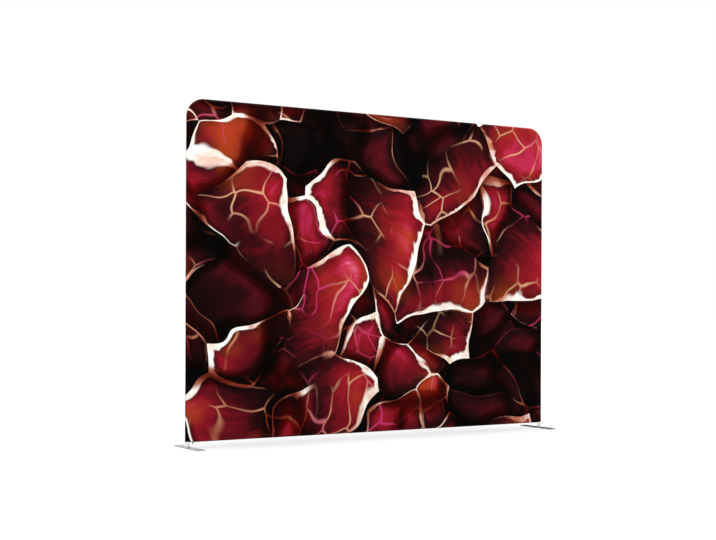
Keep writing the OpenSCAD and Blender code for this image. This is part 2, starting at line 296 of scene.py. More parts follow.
bpy.ops.mesh.primitive_plane_add(size=studio["floorSize"], location=(0, 0, -studio["floorDrop"]))
floor = bpy.context.object
floor.name = "studioFloor"
bpy.ops.object.transform_apply(location=True, rotation=True, scale=True)
floorMaterial, tree, shader = newMaterial(
    "paleFloor", Roughness=0.75, Specular_IOR_Level=0.1, Emission_Color=(1, 1, 1, 1))
place = addNode(tree, "TexCoord").outputs["Object"]
clouds = fade(tree, noise(tree, place, studio["cloudSize"]), *studio["cloudSpan"], 0.0, studio["cloudShare"])
clouded = blendColours(tree, clouds, studio["floorColour"], studio["cloudColour"])
plug(tree, shader.inputs["Base Color"], clouded)
away = vectors(tree, "DOT_PRODUCT", place, place)
glow = fade(tree, away, *studio["glowSpan"], studio["nearGlow"], studio["farGlow"])
plug(tree, shader.inputs["Emission Strength"], glow)
floor.data.materials.append(floorMaterial)

world = bpy.data.worlds.new("softStudio")
bpy.context.scene.world = world
world.use_nodes = True
tree = world.node_tree
tree.nodes.clear()
direction = addNode(tree, "TexCoord").outputs["Generated"]
side, ahead, height = splitXyz(tree, direction)
dome = fade(tree, height, 0.0, studio["skyRise"], studio["skySide"], studio["skyTop"])
panels = fade(tree, maths(tree, "ABSOLUTE", side), *studio["panelSide"])
panels = times(tree, panels, fade(tree, height, *studio["panelTop"], 1.0, 0.0))
dome = minus(tree, dome, times(tree, panels, studio["skySide"] - studio["skyDark"]))
dome = joinXyz(tree, dome, dome, dome)
seen = addNode(tree, "LightPath").outputs["Is Camera Ray"]
sky = addNode(tree, "Background")
plug(tree, sky.inputs["Color"], blendColours(tree, seen, dome, "ffffff"))
plug(tree, addNode(tree, "OutputWorld").inputs["Surface"], sky.outputs[0])

bpy.ops.object.light_add(
    type="AREA", location=studio["keyPlace"], rotation=aimedAt(studio["keyPlace"], studio["keyAim"]))
key = bpy.context.object
key.name = "keySoftbox"
key.data.energy = studio["keyPower"]
key.data.size = studio["keySize"]
bpy.ops.object.light_add(type="AREA", location=(0, 0, studio["overHeight"]))
over = bpy.context.object
over.name = "overheadSoftbox"
over.data.shape = "RECTANGLE"
over.data.energy = studio["overPower"]
over.data.size, over.data.size_y = studio["overSize"]
bpy.context.scene.view_settings.view_transform = "Standard"
print("camera, floor and light made")


# Shared surface effects
knit = {
    "pitch": 0.0011,
    "rowRate": 1.3,             # stitches along for one wale across
    "zigzag": 1.4,
    "rowShare": 0.35,
    "rise": 0.6,
    "cloudSize": 35.0,
    "shadeSpan": (-0.2, 0.8),
    "shade": (0.9, 1.0),
}


def makeKnitGroup():
    # warp knit: upright wales with small stitches across them
    group, given, made = newGroup(
        "knit", [("Vector", "Vector", None), ("Pitch", "Float", knit["pitch"])],
        [("Height", "Float"), ("Shade", "Float")])
    x, y, _ = splitXyz(group, given["Vector"])
    turns = maths(group, "DIVIDE", 2*math.pi, given["Pitch"])
    wale = maths(group, "SINE", times(group, x, turns))
    zigzag = times(group, maths(group, "SINE", times(group, y, turns)), knit["zigzag"])
    row = times(group, y, times(group, turns, knit["rowRate"]))
    stitch = maths(group, "SINE", plus(group, row, zigzag))
    cloud = noise(group, given["Vector"], knit["cloudSize"], detail=3.0)
    relief = plus(group, maths(group, "ABSOLUTE", wale), times(group, stitch, knit["rowShare"]))
    height = times(group, relief, knit["rise"])
    plug(group, made["Height"], plus(group, height, cloud))
    plug(group, made["Shade"], fade(group, height, *knit["shadeSpan"], *knit["shade"]))
    return group


brushing = {
    "lineShare": 0.6,
    "broadShare": 0.4,
    "broadSize": 16.0,
    "shadeSpan": (0.25, 0.75),
}


def makeBrushGroup():
    # fine lines left by drawing or brushing, with broad cloudy wear
    group, given, made = newGroup(
        "brushed",
        [("Vector", "Vector", None), ("Stretch", "Vector", None),
         ("Base", "Float", 0.3), ("Spread", "Float", 0.12)],
        [("Roughness", "Float"), ("Height", "Float"), ("Shade", "Float")])
    stretched = vectors(group, "MULTIPLY", given["Vector"], given["Stretch"])
    lines = noise(group, stretched, 1.0, detail=3.0, roughness=0.6)
    broad = noise(group, given["Vector"], brushing["broadSize"], detail=4.0, roughness=0.65)
    mixed = times(group, lines, brushing["lineShare"])
    mixed = plus(group, mixed, times(group, broad, brushing["broadShare"]))
    centred = minus(group, mixed, 0.5)
    plug(group, made["Roughness"], plus(group, given["Base"], times(group, centred, given["Spread"])))
    plug(group, made["Height"], lines)
    plug(group, made["Shade"], fade(group, mixed, *brushing["shadeSpan"]))
    return group


rubbing = {
    "spotSize": 420.0,
    "spotShare": 0.65,
    "scratchPitch": (260.0, 2600.0, 900.0),
    "scratchShare": 0.35,
    "start": 0.75,              # noise level where wear starts, and how far the amount lowers it
    "startFall": 0.4,
    "band": 0.08,
}


def makeWearGroup():
    # rubbed spots and scratches for small painted parts
    group, given, made = newGroup(
        "rubbed", [("Vector", "Vector", None), ("Amount", "Float", 0.3)], [("Mask", "Float")])
    spots = noise(group, given["Vector"], rubbing["spotSize"], detail=4.0, roughness=0.7)
    stretched = vectors(group, "MULTIPLY", given["Vector"], rubbing["scratchPitch"])
    scratch = noise(group, stretched, 1.0)
    both = times(group, spots, rubbing["spotShare"])
    both = plus(group, both, times(group, scratch, rubbing["scratchShare"]))
    start = minus(group, rubbing["start"], times(group, given["Amount"], rubbing["startFall"]))
    plug(group, made["Mask"], fade(group, both, start, plus(group, start, rubbing["band"])))
    return group


knitGroup = makeKnitGroup()
brushGroup = makeBrushGroup()
wearGroup = makeWearGroup()
print("surface groups made")

# The printed cloth: a generic design of three layers of leaning forms with pale rims and fine veins
printLayers = {
    "deep": {
        "offset": (5.1, 2.7, 0.0), "size": 1.9, "lean": 0.9, "spread": 1.5,
        "share": 1.0, "rimWidth": 0.05, "softness": 1.6,
        "colours": [(0.0, "0b0304"), (0.3, "220609"), (0.6, "4c0c15"), (0.85, "781425"), (1.0, "96233a")],
    },
    "middle": {
        "offset": (1.3, 8.2, 0.0), "size": 2.3, "lean": 2.3, "spread": 2.4,
        "share": 0.55, "rimWidth": 0.128, "softness": 1.0,
        "colours": [(0.0, "0d0304"), (0.24, "27060b"), (0.48, "5f0d18"), (0.7, "8a1421"),
                    (0.88, "b0244a"), (1.0, "d8507c")],
        "warm": "c04a18", "vein": "e09c74", "gleam": 0.72,
    },
    "top": {
        "offset": (9.4, 4.6, 0.0), "size": 1.75, "lean": -0.6, "spread": 2.6,
        "share": 0.42, "rimWidth": 0.16, "softness": 1.0,
        "colours": [(0.0, "140405"), (0.2, "37080e"), (0.42, "73101b"), (0.66, "981824"),
                    (0.85, "bd2b4c"), (1.0, "e0628a")],
        "warm": "d0561a", "vein": "f0b58c", "gleam": 0.7,
    },
}
formLook = {
    "streakPitch": (1.6, 9.0),      # along a form and beside it
    "streakSeed": 20.0,
    "cloudSize": 4.5,
    "grainShare": 0.42,
    "fibrePitch": (5.0, 60.0),
    "fibreShare": 0.3,
    "lightSpan": (-0.62, 0.6),      # from a form's foot to its tip
    "light": (0.06, 0.8),
    "lightSpread": 0.3,
    "edgeReach": 0.2,
    "edgeLight": 0.4,
    "rimPlace": (3.0, 9.0, 1.0),
    "rimSize": 3.1,
    "rimSpan": (0.36, 0.72),
    "rimLeast": 0.14,
    "rimLitSpan": (-0.35, 0.6),
    "rimAtFoot": 0.3,
    "rimBlur": 0.4,
    "tear": 1.2,
    "tearSpan": (-0.35, 0.12),
}
printDesign = {
    "layout": (-12.5, 9.3, 0.0),
    "drift": 0.85,                  # metres that the forms are pulled about
    "driftSize": 0.8,
    "ripple": 0.2,
    "rippleSize": 2.6,
    "ripplePlace": (7.3, 2.1, 4.4),
    "cream": [(0.3, "e6bda8"), (0.45, "fbebdd"), (0.58, "fffdf8")],
    "tan": [(0.3, "7a3524"), (0.5, "b8704f"), (0.7, "e0ab8c")],
    "salmon": [(0.3, "a2462f"), (0.46, "c97b5c"), (0.6, "e6a493"), (0.72, "f4cdb8")],
    "creamSpan": (0.0, 0.34),       # a rim turns from salmon to cream towards the tip
    "shadow": [(0.0, "6a2c22"), (0.4, "a3604c"), (1.0, "ffffff")],
    "shadowReach": 0.2,
    "veinSize": 4.6,
    "veinWidth": 0.055,
    "veinShare": 0.8,
    "veinSway": 0.14,
    "veinSwaySize": 4.5,
    "veinPatchSize": 2.4,
    "veinPatches": (0.43, 0.6),
    "glowSize": 1.7,
    "glowPlace": (11.0, 3.0, 0.0),
    "glowPatches": (0.5, 0.74),
    "glowLitSpan": (-0.4, 0.5),
    "pinkSize": 1.6,
    "pinkPlace": (2.0, 6.0, 5.0),
    "pinkPatches": (0.46, 0.6),
    "pinkVein": "cc3a6c",
    "pinkRim": "a32a52",
    "deepRimShare": 0.55,
    "footSpan": (-0.64, -0.32),
}


def formLayer(tree, warped, layer):
    # one layer of forms: where they show, their colour, their rim, and the place across and along each
    size, softness = layer["size"], layer["softness"]
    at = shifted(tree, warped, layer["offset"])
    cell = voronoi(tree, at, size, "F1")
    edge = voronoi(tree, at, size, "DISTANCE_TO_EDGE")["Distance"]
    chances = addNode(tree, "SeparateColor")
    plug(tree, chances.inputs[0], cell["Color"])
    chance, second, third = chances.outputs
    shown = maths(tree, "GREATER_THAN", chance, 1 - layer["share"])
    turn = plus(tree, times(tree, minus(tree, second, 0.5), layer["spread"]), layer["lean"])
    cosine, sine = maths(tree, "COSINE", turn), maths(tree, "SINE", turn)
    away = vectors(tree, "SCALE", vectors(tree, "SUBTRACT", at, cell["Position"]), scale=size)
    along = vectors(tree, "DOT_PRODUCT", away, joinXyz(tree, cosine, sine))
    beside = vectors(tree, "DOT_PRODUCT", away, joinXyz(tree, times(tree, sine, -1.0), cosine))
    # light grows towards the tip, with streaks and fibres along the form and a dark foot
    streakAlong, streakBeside = formLook["streakPitch"]
    streakAt = joinXyz(tree, times(tree, along, streakAlong), times(tree, beside, streakBeside),
                       times(tree, third, formLook["streakSeed"]))
    streak = noise(tree, streakAt, 1.0, detail=3.0, roughness=0.55)
    cloud = noise(tree, at, formLook["cloudSize"], detail=3.0, roughness=0.6)
    grain = times(tree, minus(tree, plus(tree, streak, cloud), 1.0), formLook["grainShare"])
    fibreAlong, fibreBeside = formLook["fibrePitch"]
    fibreAt = joinXyz(tree, times(tree, along, fibreAlong), times(tree, beside, fibreBeside), third)
    fibre = minus(tree, noise(tree, fibreAt, 1.0, detail=4.0, roughness=0.7), 0.5)
    grain = plus(tree, grain, times(tree, fibre, formLook["fibreShare"]))
    level = plus(tree, fade(tree, along, *formLook["lightSpan"], *formLook["light"]), grain)
    level = plus(tree, level, times(tree, minus(tree, third, 0.5), formLook["lightSpread"]))
    edgeReach = formLook["edgeReach"]*softness
    level = times(tree, level, fade(tree, edge, 0.0, edgeReach, formLook["edgeLight"], 1.0))
    body = ramp(tree, level, layer["colours"])
    # the rim is heavy towards the tip and lost towards the foot
    rimAt = shifted(tree, at, formLook["rimPlace"])
    thick = noise(tree, rimAt, formLook["rimSize"], detail=3.0, roughness=0.62)
    width = times(tree, fade(tree, thick, *formLook["rimSpan"], formLook["rimLeast"], 1.0),
                  fade(tree, along, *formLook["rimLitSpan"], formLook["rimAtFoot"], 1.0))
    width = times(tree, width, layer["rimWidth"])
    rim = fade(tree, edge, times(tree, width, 1.0 - formLook["rimBlur"]*softness), width, 1.0, 0.0)
    torn = plus(tree, along, times(tree, minus(tree, cloud, 0.5), formLook["tear"]))
    rim = times(tree, rim, fade(tree, torn, *formLook["tearSpan"]))
    return {"shown": shown, "body": body, "rim": rim, "edge": edge, "along": along, "torn": torn}


def printColour(tree, place):
    centre = (0.5, 0.5, 0.5)
    slow = noise(tree, place, printDesign["driftSize"], colour=True)
    slow = vectors(tree, "SUBTRACT", slow, centre)
    fast = noise(tree, shifted(tree, place, printDesign["ripplePlace"]), printDesign["rippleSize"],
                 detail=1.0, colour=True)
    fast = vectors(tree, "SUBTRACT", fast, centre)
    warped = shifted(tree, place, vectors(tree, "SCALE", slow, scale=printDesign["drift"]))
    warped = shifted(tree, warped, vectors(tree, "SCALE", fast, scale=printDesign["ripple"]))
    warped = vectors(tree, "MULTIPLY", warped, (1.0, 1.0, 0.0))
    deep = formLayer(tree, warped, printLayers["deep"])
    cream = ramp(tree, noise(tree, warped, 9.0, detail=3.0, roughness=0.6), printDesign["cream"])
    tan = ramp(tree, noise(tree, warped, 6.0, roughness=0.6), printDesign["tan"])
    salmon = ramp(tree, noise(tree, warped, 5.0, detail=4.0, roughness=0.65), printDesign["salmon"])
    # fine veins, a warm glow and a pinker tint, each in patches
    sway = noise(tree, place, printDesign["veinSwaySize"], detail=0.5, colour=True)
    sway = vectors(tree, "SCALE", vectors(tree, "SUBTRACT", sway, centre), scale=printDesign["veinSway"])
    vein = voronoi(tree, shifted(tree, warped, sway), printDesign["veinSize"], "DISTANCE_TO_EDGE")["Distance"]
    vein = fade(tree, vein, 0.0, printDesign["veinWidth"], 1.0, 0.0)
    patches = noise(tree, place, printDesign["veinPatchSize"])
    vein = times(tree, vein, fade(tree, patches, *printDesign["veinPatches"]))
    vein = times(tree, vein, printDesign["veinShare"])
    glow = noise(tree, shifted(tree, place, printDesign["glowPlace"]), printDesign["glowSize"])
    glow = fade(tree, glow, *printDesign["glowPatches"])
    pinker = noise(tree, shifted(tree, place, printDesign["pinkPlace"]), printDesign["pinkSize"], detail=1.0)
    pinker = fade(tree, pinker, *printDesign["pinkPatches"])
    deepRim = times(tree, deep["rim"], printDesign["deepRimShare"])
    deepRimColour = blendColours(tree, pinker, tan, printDesign["pinkRim"])
    colour = blendColours(tree, deepRim, deep["body"], deepRimColour)
    # each upper layer darkens what lies just under its edges
    for layer in (printLayers["middle"], printLayers["top"]):
        form = formLayer(tree, warped, layer)
        shadow = ramp(tree, fade(tree, form["edge"], 0.0, printDesign["shadowReach"]), printDesign["shadow"])
        colour = vectors(tree, "MULTIPLY", colour, shadow)
        lit = times(tree, glow, fade(tree, form["along"], *printDesign["glowLitSpan"], 0.0, layer["gleam"]))
        body = blendColours(tree, lit, form["body"], layer["warm"])
        veinColour = blendColours(tree, pinker, layer["vein"], printDesign["pinkVein"])
        body = blendColours(tree, vein, body, veinColour)
        paleRim = blendColours(tree, fade(tree, form["torn"], *printDesign["creamSpan"]), salmon, cream)
        body = blendColours(tree, form["rim"], body, paleRim)
        present = times(tree, form["shown"], fade(tree, form["along"], *printDesign["footSpan"]))
        colour = blendColours(tree, present, colour, body)
    return colour


stitching = {
    "pitch": 0.0034,
    "puckerReach": 0.009,
    "puckerRise": 5.0,
    "grooveReach": 0.0011,
    "grooveFall": 5.0,
    "grooveShade": 0.3,
    "fromHem": 0.0032,              # the row of stitches above the cloth's lower edge
    "thread": "1a0a0c",
    "threadHalf": 0.00028,
    "threadCore": 0.6,
    "threadRise": 1.2,
    "gapSpan": (-0.6, -0.3),        # where the thread dips into the cloth
}


def sewnLines(tree, flat):
    # the seam round the edge, pulled in by its thread, and the row of stitches that holds the zip tape
    u, v, _ = splitXyz(tree, flat)
    u = maths(tree, "ABSOLUTE", u)
    over = maths(tree, "MAXIMUM", minus(tree, u, cover["bendX"]), 0.0)
    above = maths(tree, "MAXIMUM", minus(tree, v, cover["bendV"]), 0.0)
    reach = maths(tree, "SQRT", plus(tree, times(tree, over, over), times(tree, above, above)))
    fromSeam = minus(tree, cover["bend"] + cover["rollArc"], reach)
    turned = times(tree, maths(tree, "ARCTAN2", above, over), cover["bend"])
    along = plus(tree, maths(tree, "MINIMUM", v, cover["bendV"]), turned)
    along = minus(tree, along, maths(tree, "MINIMUM", u, cover["bendX"]))
    turns = 2*math.pi/stitching["pitch"]
    wave = maths(tree, "SINE", times(tree, along, turns))
    pucker = fade(tree, fromSeam, 0.0, stitching["puckerReach"], stitching["puckerRise"], 0.0)
    groove = fade(tree, fromSeam, 0.0, stitching["grooveReach"], -stitching["grooveFall"], 0.0)
    seamShade = fade(tree, fromSeam, 0.0, stitching["grooveReach"], stitching["grooveShade"], 1.0)
    offRow = maths(tree, "ABSOLUTE", minus(tree, v, stitching["fromHem"] - cover["hemLength"]))
    half = stitching["threadHalf"]
    onRow = fade(tree, offRow, half*stitching["threadCore"], half, 1.0, 0.0)
    dashes = fade(tree, maths(tree, "SINE", times(tree, u, turns)), *stitching["gapSpan"])
    stitch = times(tree, onRow, dashes)
    height = plus(tree, times(tree, wave, pucker), groove)
    height = plus(tree, height, times(tree, stitch, stitching["threadRise"]))
    return height, seamShade, stitch


def makePrintMaterial():
    material, tree, shader = newMaterial(
        "printedStretchCloth", Specular_IOR_Level=0.03, Sheen_Weight=0.008, Sheen_Roughness=0.5)
    flat = addNode(tree, "UVMap", uv_map="flatCut").outputs[0]
    wales = useGroup(tree, knitGroup, Vector=flat, Pitch=knit["pitch"])
    sewnHeight, seamShade, stitch = sewnLines(tree, flat)
    colour = printColour(tree, shifted(tree, flat, printDesign["layout"]))
    colour = darkened(tree, darkened(tree, colour, wales["Shade"]), seamShade)
    plug(tree, shader.inputs["Base Color"], blendColours(tree, stitch, colour, stitching["thread"]))
    plug(tree, shader.inputs["Roughness"], fade(tree, wales["Height"], 0.2, 1.6, 0.86, 0.68))
    addBump(tree, shader, plus(tree, wales["Height"], sewnHeight), strength=0.25, distance=0.0002)
    return material


cover = {
    "thick": 0.0004,
    "radius": 0.01555,              # from a tube's middle line to the cloth's middle
    "uprightX": 1.4842,
    "railTop": 2.2842,
    "railLow": 0.0598,
    "bend": 0.110,
    "hemTurn": math.radians(39.57),
    "hemStraight": 0.00953,
    "sideEnd": 0.044,               # height of the cloth's lower edge at the uprights
    "hemFrom": 1.438,               # the hem leaves the zip between these two stations
    "hemTo": 1.4662,
    "seamHalf": 0.00001,
    "cutFlat": (2.93, 2.20),        # cut about 3 % under size, to pull tight
    "middleStep": 0.03,             # mesh steps: in the flat middle, near the sides, and round the tubes
    "sideStep": 0.013,
    "sideFrom": 1.14,
    "lowStep": 0.012,
    "lowTo": 0.24,
    "bandStep": 0.008,
    "rollStep": 0.0024,
    "hemStep": 0.0021,
    "fanStep": math.radians(3),
    "weld": 0.00001,
    "smooth": math.radians(50),
}
cover["bendX"] = cover["uprightX"] - cover["bend"]
cover["bendV"] = cover["railTop"] - cover["bend"] - cover["railLow"]
cover["rollArc"] = math.pi/2*cover["radius"] - cover["seamHalf"]
cover["hemArc"] = cover["radius"]*cover["hemTurn"]
cover["hemLength"] = cover["hemArc"] + cover["hemStraight"]
pulls = {
    "liftRise": 0.00035,            # the allowances under the cloth lift it beside the seam
    "liftFromSeam": 0.0042,
    "liftWidth": 0.0024,
    "threadPull": 0.00015,
    "threadWidth": 0.0008,
    "cornerRise": 0.0008,           # faint pull lines that run out of the lower corners
    "cornerReach": 0.10,
    "cornerStart": 0.04,
    "cornerAboveHem": 0.03,
    "cornerLines": 17,
}


def smooth(value, start, end):
    t = min(1.0, max(0.0, (value - start)/(end - start)))
    return t*t*(3 - 2*t)


def spaced(start, end, step):
    count = max(1, round((end - start)/step))
    return [start + (end - start)*i/count for i in range(count + 1)]


def hemPoint(s, across):
    # depth in Y and drop in Z at a length s past the rail: curled under at the zip, straight by the uprights
    radius, turn = cover["radius"], cover["hemTurn"]
    a = min(s/radius, turn)
    rest = max(0.0, s - cover["hemArc"])
    curledY = radius*math.cos(a) - rest*math.sin(turn)
    curledZ = -radius*math.sin(a) - rest*math.cos(turn)
    straightZ = -s*(cover["railLow"] - cover["sideEnd"])/cover["hemLength"]
    keep = 1 - smooth(abs(across), cover["hemFrom"], cover["hemTo"])
    return radius + keep*(curledY - radius), straightZ + keep*(curledZ - straightZ)


def seamLift(fromSeam):
    raised = math.exp(-((fromSeam - pulls["liftFromSeam"])/pulls["liftWidth"])**2)
    drawnIn = math.exp(-(fromSeam/pulls["threadWidth"])**2)
    return pulls["liftRise"]*raised - pulls["threadPull"]*drawnIn


def cornerRipple(u, v):
    if v < 0 or abs(u) > cover["uprightX"]:
        return 0.0
    reach = math.hypot(abs(u) - cover["uprightX"], v)
    angle = math.atan2(v, cover["uprightX"] - abs(u))
    strength = math.exp(-reach/pulls["cornerReach"])*smooth(reach, 0.0, pulls["cornerStart"])
    strength *= smooth(v, 0.0, pulls["cornerAboveHem"])
    return pulls["cornerRise"]*strength*(0.5 + 0.5*math.sin(pulls["cornerLines"]*angle))


def coverPoint(u, v, facing):
    # where a point of the flat panel comes to lie on the frame
    side = 1 if u > 0 else -1
    x, z, past, outX, outZ = u, v, 0.0, 0.0, 0.0
    if v > cover["bendV"] and abs(u) > cover["bendX"]:
        dx, dz = abs(u) - cover["bendX"], v - cover["bendV"]
        reach = math.hypot(dx, dz)
        past = reach - cover["bend"]
        outX, outZ = side*dx/reach, dz/reach
        if past > 0:
            x = side*cover["bendX"] + outX*cover["bend"]
            z = cover["bendV"] + outZ*cover["bend"]
    elif v > cover["bendV"]:
        past, outZ = v - cover["bendV"] - cover["bend"], 1.0
        z = min(v, cover["bendV"] + cover["bend"])
    elif abs(u) > cover["uprightX"]:
        past, outX = abs(u) - cover["uprightX"], side
        x = side*cover["uprightX"]
    depth = cover["radius"]
    if v < 0:
        depth, z = hemPoint(-v, u)
    if past > 0:
        bow = past/cover["radius"]
        radius = cover["radius"] + seamLift(cover["rollArc"] - past)
        x += outX*radius*math.sin(bow)
        z += outZ*radius*math.sin(bow)
        depth = radius*math.cos(bow)
    depth += cornerRipple(u, v)
    return Vector((x, facing*depth, cover["railLow"] + z))


def makeCloth(name, facing):
    # the panel is laid out flat as bands, corner fans and a middle, then rolled round the tubes
    mesh = bmesh.new()
    flatCut = mesh.verts.layers.float_vector.new("flat")

    def patch(rows, columns, spot):
        grid = []
        for r in rows:
            line = []
            for c in columns:
                u, v = spot(r, c)
                vert = mesh.verts.new(coverPoint(u, v, facing))
                vert[flatCut] = Vector((-facing*u, v, 0))
                line.append(vert)
            grid.append(line)
        for low, high in zip(grid, grid[1:]):
            for a, b, c, d in zip(low, low[1:], high[1:], high):
                mesh.faces.new((a, b, c, d))

    bendX, bendV = cover["bendX"], cover["bendV"]
    half = spaced(0, cover["sideFrom"], cover["middleStep"])
    half += spaced(cover["sideFrom"], bendX, cover["sideStep"])[1:]
    middle = [-u for u in reversed(half)] + half[1:]
    band = spaced(0, cover["bend"], cover["bandStep"])
    band += [cover["bend"] + s for s in spaced(0, cover["rollArc"], cover["rollStep"])[1:]]
    hem = [-s for s in reversed(spaced(0, cover["hemLength"], cover["hemStep"]))]
    upright = hem + spaced(0, cover["lowTo"], cover["lowStep"])[1:]
    upright += spaced(cover["lowTo"], bendV, cover["middleStep"])[1:]
    fan = spaced(0, math.pi/2, cover["fanStep"])
    patch(upright, middle, lambda v, u: (u, v))
    patch(band, middle, lambda b, u: (u, bendV + b))
    for side in (-1, 1):
        patch(upright, band, lambda v, b: (side*(bendX + b), v))
        patch(fan, band, lambda a, b: (side*(bendX + b*math.cos(a)), bendV + b*math.sin(a)))
    bmesh.ops.remove_doubles(mesh, verts=mesh.verts, dist=cover["weld"])
    bmesh.ops.recalc_face_normals(mesh, faces=mesh.faces)
    if sum(f.normal.y*f.calc_area() for f in mesh.faces)*facing < 0:
        bmesh.ops.reverse_faces(mesh, faces=mesh.faces)
    flatUv = mesh.loops.layers.uv.new("flatCut")
    for face in mesh.faces:
        for loop in face.loops:
            loop[flatUv].uv = loop.vert[flatCut].xy
    data = bpy.data.meshes.new(name)
    mesh.to_mesh(data)
    mesh.free()
    cloth = addPiece(name, data)
    selectOnly(cloth)
    applyModifier(cloth, "SOLIDIFY", thickness=cover["thick"], offset=0)
    bpy.ops.object.shade_smooth_by_angle(angle=cover["smooth"])
    return cloth


printMaterial = makePrintMaterial()
tubeWords = ("tube", "upright", "rail", "post")
tubesInside = [name for name in nodes if any(word in name for word in tubeWords)]
tubesInside = [name for name in tubesInside if not name.startswith("button")]
for name, facing in (("front", -1), ("back", 1)):
    cloth = makeCloth(name + "Cloth", facing)
    cloth.data.materials.append(printMaterial)
    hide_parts(name + "_print")
    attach(cloth, "frame")
print("cloth made")

# Metal, tape and plastic: the stretch gives the lines per metre along each axis
finish = {
    "tube": {"low": "cfd1d3", "high": "f0f1f2", "base": 0.2, "spread": 0.2},
    "plate": {"low": "85878a", "high": "b0b2b4", "base": 0.17, "spread": 0.14},
    "spigot": {"low": "9a9da1", "high": "c4c7ca", "base": 0.22, "spread": 0.16},
    "zinc": {"low": "8d9196", "high": "c3c8cc", "base": 0.36, "spread": 0.3},
    "nickel": {"low": "b5b0a6", "high": "dedad2", "base": 0.16, "spread": 0.12},
    "spring": {"low": "23262c", "high": "59606b", "base": 0.3, "spread": 0.25},
    "lineDepth": 0.00002,
    "nickelDepth": 0.000008,
    "enamel": "0c0c0d",
    "rubbed": "8f8d88",
    "worn": 0.32,
    "peelSize": 1800.0,
    "tapeLow": "060607",
    "tapeHigh": "1e1e21",
    "twillPitch": 0.0009,
    "ribHeight": 0.0012,
    "fuzzSize": 900.0,
    "nylonLow": "08080a",
    "nylonHigh": "1b1b1f",
    "hazeSize": 240.0,
}


def makeMetal(name, stretch, kind, depth=finish["lineDepth"]):
    look = finish[kind]
    material, tree, shader = newMaterial(name, Metallic=1.0)
    place = addNode(tree, "TexCoord").outputs["Object"]
    brushed = useGroup(
        tree, brushGroup, Vector=place, Stretch=stretch, Base=look["base"], Spread=look["spread"])
    plug(tree, shader.inputs["Base Color"], blendColours(tree, brushed["Shade"], look["low"], look["high"]))
    plug(tree, shader.inputs["Roughness"], brushed["Roughness"])
    addBump(tree, shader, brushed["Height"], strength=0.3, distance=depth)
    return material


def makeEnamel():
    # black enamel on cast zinc, rubbed through in spots
    material, tree, shader = newMaterial("blackEnamel", Coat_Weight=0.3, Coat_Roughness=0.2)
    place = addNode(tree, "TexCoord").outputs["Object"]
    mask = useGroup(tree, wearGroup, Vector=place, Amount=finish["worn"])["Mask"]
    peel = noise(tree, place, finish["peelSize"])
    plug(tree, shader.inputs["Base Color"], blendColours(tree, mask, finish["enamel"], finish["rubbed"]))
    plug(tree, shader.inputs["Metallic"], mask)
    plug(tree, shader.inputs["Roughness"], fade(tree, peel, 0.2, 0.8, 0.3, 0.48))
    addBump(tree, shader, peel, strength=0.2, distance=0.00003)
    return material


def makeTape():
    # woven zip tape with a herringbone
    material, tree, shader = newMaterial("wovenTape", Specular_IOR_Level=0.3, Sheen_Weight=0.15)
    place = addNode(tree, "TexCoord").outputs["Object"]
    x, _, z = splitXyz(tree, place)
    rib = maths(tree, "PINGPONG", z, finish["ribHeight"])
    twill = maths(tree, "SINE", times(tree, plus(tree, x, rib), 2*math.pi/finish["twillPitch"]))
    fuzz = noise(tree, place, finish["fuzzSize"], detail=3.0)
    thread = plus(tree, twill, fuzz)
    shade = fade(tree, thread, -0.6, 1.6)
    plug(tree, shader.inputs["Base Color"], blendColours(tree, shade, finish["tapeLow"], finish["tapeHigh"]))
    plug(tree, shader.inputs["Roughness"], fade(tree, fuzz, 0.2, 0.8, 0.7, 0.92))
    addBump(tree, shader, thread, strength=0.5, distance=0.00012)
    return material


def makeNylon():
    material, tree, shader = newMaterial("blackNylon")
    place = addNode(tree, "TexCoord").outputs["Object"]
    haze = noise(tree, place, finish["hazeSize"], detail=3.0)
    shade = fade(tree, haze, 0.3, 0.75)
    colour = blendColours(tree, shade, finish["nylonLow"], finish["nylonHigh"])
    plug(tree, shader.inputs["Base Color"], colour)
    plug(tree, shader.inputs["Roughness"], fade(tree, haze, 0.25, 0.75, 0.28, 0.5))
    addBump(tree, shader, haze, strength=0.15, distance=0.00005)
    return material


tubeUp = makeMetal("satinTubeUpright", (1400.0, 1400.0, 6.0), "tube")
tubeAlong = makeMetal("satinTubeLevel", (6.0, 1400.0, 1400.0), "tube")
tubeBent = makeMetal("satinTubeBent", (260.0, 1400.0, 260.0), "tube")
plateSteel = makeMetal("brushedPlate", (1500.0, 9.0, 1500.0), "plate")
turnedSteel = makeMetal("turnedSteel", (60.0, 60.0, 3200.0), "spigot")
zinc = makeMetal("zincPlate", (700.0, 700.0, 700.0), "zinc")
nickel = makeMetal("nickelPlate", (500.0, 500.0, 500.0), "nickel", finish["nickelDepth"])
springSteel = makeMetal("springSteel", (900.0, 60.0, 900.0), "spring")
enamel = makeEnamel()
tapeCloth = makeTape()
nylon = makeNylon()

finishOf = {"zip_tape_front": tapeCloth, "zip_tape_back": tapeCloth}
for name in nodes:
    if name.startswith("button_"):
        finishOf[name] = nickel
    elif "rail" in name:
        finishOf[name] = tubeAlong
    elif "corner_tube" in name:
        finishOf[name] = tubeBent
    elif "upright" in name or "post" in name:
        finishOf[name] = tubeUp
for name, material in finishOf.items():
    nodes[name].data.materials.clear()
    nodes[name].data.materials.append(material)
print("finishes on", len(finishOf), "frame nodes")

easing = {
    "plate": 0.0008,
    "spigot": 0.0003,
    "screw": 0.00025,
    "zip": 0.0003,
    "segments": 2,
    "weld": 0.000005,
    "flat": math.radians(1),        # faces that meet flatter than this become one
    "sharp": math.radians(35),      # edges sharper than this are eased
}


